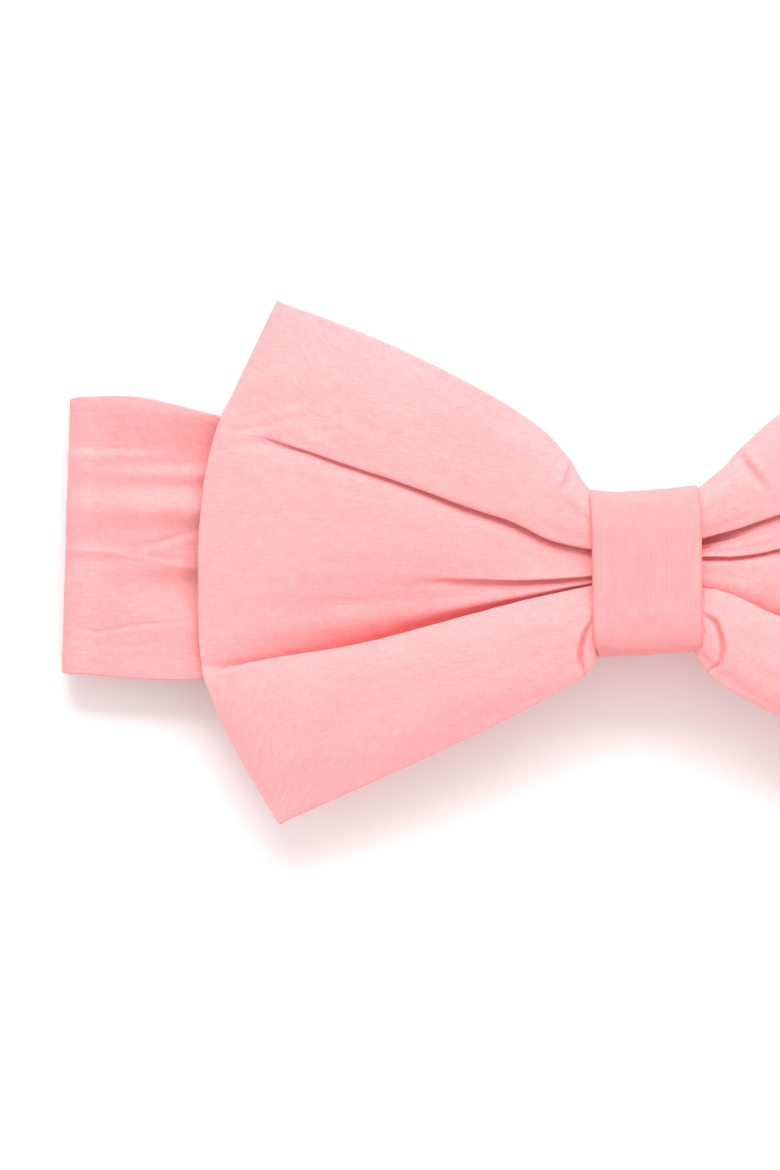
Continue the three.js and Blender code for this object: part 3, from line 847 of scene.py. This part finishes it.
wrap_width, wrap_round = 22.8, 104
wrap_middle = (waist_low + waist_high) / 2
wrap_half = (waist_high - waist_low) / 2
wrap_top = curve_through((-11.6, 14.9), (-5.8, 14.2), (4, 14.9), (11.1, 15.7))
wrap_bottom = curve_through((-10.4, -19.7), (-4, -19.2), (10.6, -18.5))
wrap_left = curve_through((-19.5, -9.9), (-17, -10.9), (-12, -11.1), (5, -11.3), (15.3, -11.9))
wrap_right = curve_through((-19.5, 11.4), (-12, 11.3), (5, 11.2), (15.3, 10.8))
around_wrap = np.linspace(0, 2 * np.pi, 300, endpoint=False)
wrap_rings = []
wrap_maps = []
wrap_arc = around_wrap * 17.4
across_wrap = np.concatenate([np.linspace(0, 1, 60), np.linspace(1, 0, 60)[1:-1]])
inner_face = np.concatenate([np.zeros(60, bool), np.ones(58, bool)])
for angle, arc in zip(around_wrap, wrap_arc):
    share = across_wrap
    rim = np.minimum(share, 1 - share) * wrap_width
    swell = np.sqrt(np.clip(1 - (1 - np.clip(rim / 0.75, 0, 1)) ** 2, 0, 1))
    y, z = rounded_turn(angle, wrap_half[1], wrap_half[2], 4.8)
    place = wrap_middle[1] + y
    x = wrap_left(place) + (wrap_right(place) - wrap_left(place)) * share
    ripple = 0.12 * lattice_noise(x / 3.2, np.full_like(x, arc / 9), 61)
    ripple = ripple + 0.16 * lattice_noise(x / 9 + 7, np.full_like(x, arc / 5), 62)
    outward = 0.7 * swell + ripple + 0.25 * np.cos(np.pi * (share - 0.5))
    lift = np.where(inner_face, -0.7 * swell + ripple, outward) - 0.75
    scale_y, scale_z = (wrap_half[1] + lift) / wrap_half[1], (wrap_half[2] + lift) / wrap_half[2]
    half_here = np.where(y > 0, wrap_top(x) - wrap_middle[1], wrap_middle[1] - wrap_bottom(x))
    scale_y = scale_y * half_here / wrap_half[1]
    wrap_rings.append(np.stack([x, wrap_middle[1] + y * scale_y, wrap_middle[2] + z * scale_z], -1))
    wrap_maps.append(np.stack([share * wrap_width, np.full_like(x, arc)], -1))


def ring_mesh(name, rings, cloth_map, material):
    """A band of cloth that closes on itself, from its cross-sections in millimetres."""
    count, around = len(rings), len(rings[0])
    faces = [(i * around + j, i * around + (j + 1) % around,
              (i + 1) % count * around + (j + 1) % around, (i + 1) % count * around + j)
             for i in range(count) for j in range(around)]
    return sewn_mesh(name, rings, faces, len(faces), cloth_map, material)


wrap = ring_mesh("ribbed_knot_wrap", wrap_rings, wrap_maps, ribbed_jersey)
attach(wrap, "front_centre")
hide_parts("knot_wrap", "knot_seam")

# The seam where the wrap's ends meet, in zigzag stitches across it, and the two bar tacks.
wrap_under = waist_low[2]
zigzag = [(x, wrap_middle[1] + 1.1 * (-1) ** k, wrap_under - 0.1)
          for k, x in enumerate(np.linspace(-10, 10, 27))]
thread_run("knot_seam_zigzag", [zigzag], 0.4, "front_centre")
for place in ("upper", "lower"):
    low, high = cad_mm(f"knot_tack_{place}")
    middle = (low + high) / 2
    bars = [[(x, low[1] - 0.3, high[2] + 0.2), (x, low[1], middle[2]), (x, middle[1], low[2] + 0.1),
             (x, high[1], middle[2]), (x, high[1] + 0.3, high[2] + 0.2)]
            for x in np.linspace(low[0] + 0.2, high[0] - 0.2, 11)]
    tack = thread_run(f"knot_bar_tack_{place}", bars, 0.42, "front_centre")
    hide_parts(f"knot_tack_{place}")


# --- The elastic casing ------------------------------------------------------------------------
# The middle of the back is a channel of cotton that wide white elastic draws up into small
# gathers. An overlocked seam at each end joins it to the sides of the band.

elastic_weave = bpy.data.materials.new("woven_white_elastic")
elastic_weave.use_nodes = True
elastic_shader = elastic_weave.node_tree.nodes["Principled BSDF"]
elastic_place = add_node(elastic_weave, "ShaderNodeTexCoord").outputs["Object"]
elastic_cords = add_node(elastic_weave, "ShaderNodeTexWave", {"bands_direction": "Y"},
                         Vector=elastic_place, Scale=260.0, Distortion=0.4)
elastic_tone = add_node(elastic_weave, "ShaderNodeMix", {"data_type": "RGBA"},
                        _0=elastic_cords.outputs["Fac"], _6=linear("#D8D2CB"), _7=linear("#F2EEE8"))
elastic_weave.node_tree.links.new(elastic_tone.outputs[2], elastic_shader.inputs["Base Color"])
elastic_bump = add_node(elastic_weave, "ShaderNodeBump", Strength=0.5, Distance=0.0002,
                        Height=elastic_cords.outputs["Fac"])
elastic_weave.node_tree.links.new(elastic_bump.outputs[0], elastic_shader.inputs["Normal"])
elastic_shader.inputs["Roughness"].default_value = 0.7
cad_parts["casing_elastic"].data.materials.clear()
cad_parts["casing_elastic"].data.materials.append(elastic_weave)

casing_steps, casing_across = 260, 90
casing_top = cad_mm("casing_inner")[1][2]
casing_share = np.linspace(0, 1, casing_across)
casing_rings = []
casing_maps = []
for x in np.linspace(casing_low[0], casing_high[0], casing_steps):
    end_gap = casing_high[0] - abs(x)
    easing = float(smoothstep(end_gap, 0, 5))
    y = casing_low[1] + (casing_high[1] - casing_low[1]) * casing_share
    inset = np.minimum(casing_share, 1 - casing_share) * (casing_high[1] - casing_low[1])
    bend = 0.9 * lattice_noise(casing_share * 3, np.full_like(y, x / 16), 71)
    gathers = np.cos(2 * np.pi * (x / 4.3 + bend)) + 0.5 * np.cos(2 * np.pi * (x / 2.7 - bend + 0.3))
    gathers = gathers * (0.7 + 0.3 * lattice_noise(casing_share * 5, np.full_like(y, x / 7), 72))
    swell = np.sqrt(np.clip(1 - (1 - np.clip(inset / 1.5, 0, 1)) ** 2, 0, 1))
    channel = 1 - 0.55 * np.exp(-(((inset - 3.2) / 0.7) ** 2))
    upper = casing_top - 0.45 + 0.5 * gathers * channel * easing
    upper = np.maximum(upper, casing_top - 0.95 + 0.1 * gathers)
    upper = 2 * back_level + (upper - 2 * back_level) * (0.25 + 0.75 * easing)
    under = np.minimum(0.5 - 0.32 * gathers * channel * easing, 0.85)
    centre = casing_top * 0.45
    y = y + 0.35 * gathers * np.sign(casing_share - 0.5) * (1 - smoothstep(inset, 0, 4)) * easing
    top_face = np.stack([x + 0 * y, y, centre + (upper - centre) * swell], -1)
    under_face = np.stack([x + 0 * y, y, centre + (under - centre) * swell], -1)
    casing_rings.append(np.concatenate([top_face, under_face[-2:0:-1]]))
    laid = np.stack([np.full_like(y, x * 1.5), casing_share * 32], -1)
    casing_maps.append(np.concatenate([laid, laid[-2:0:-1] + [0, 50]]))
casing = cloth_mesh("elastic_casing", casing_rings, casing_maps, band_cotton)
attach(casing, "back_centre")
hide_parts("casing_outer", "casing_inner")

for side, name in ((-1, "left"), (1, "right")):
    low, high = cad_mm(f"casing_seam_{name}")
    middle = (low + high) / 2
    ridge_rings = []
    ridge_maps = []
    ridge_turns = np.linspace(0, 2 * np.pi, 20, endpoint=False)
    for y in np.linspace(low[1], high[1], 60):
        across_x, up_z = rounded_turn(ridge_turns, 1.5, 0.6, 2.6)
        wave = 0.12 * math.sin(y * 2.4)
        ridge_rings.append(np.stack([middle[0] + across_x + wave, y + 0 * across_x,
                                     middle[2] - 0.5 + up_z + 0.5 * wave], -1))
        ridge_maps.append(np.stack([ridge_turns * 1.1, y + 0 * across_x], -1))
    ridge = cloth_mesh(f"casing_seam_ridge_{name}", ridge_rings, ridge_maps, band_cotton)
    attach(ridge, "back_centre")
    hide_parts(f"casing_seam_{name}")
    loops = [(middle[0] + 1.62 * (-1) ** k, y, middle[2] - 0.35 + 0.15 * (-1) ** k)
             for k, y in enumerate(np.arange(low[1] + 0.5, high[1] - 0.5, 0.9))]
    crossing = []
    for a, b in zip(loops, loops[1:]):
        over = ((a[0] + b[0]) / 2, (a[1] + b[1]) / 2, middle[2] + 0.25)
        crossing += [a, over]
    thread_run(f"casing_overlock_{name}", [crossing], 0.35, "back_centre")
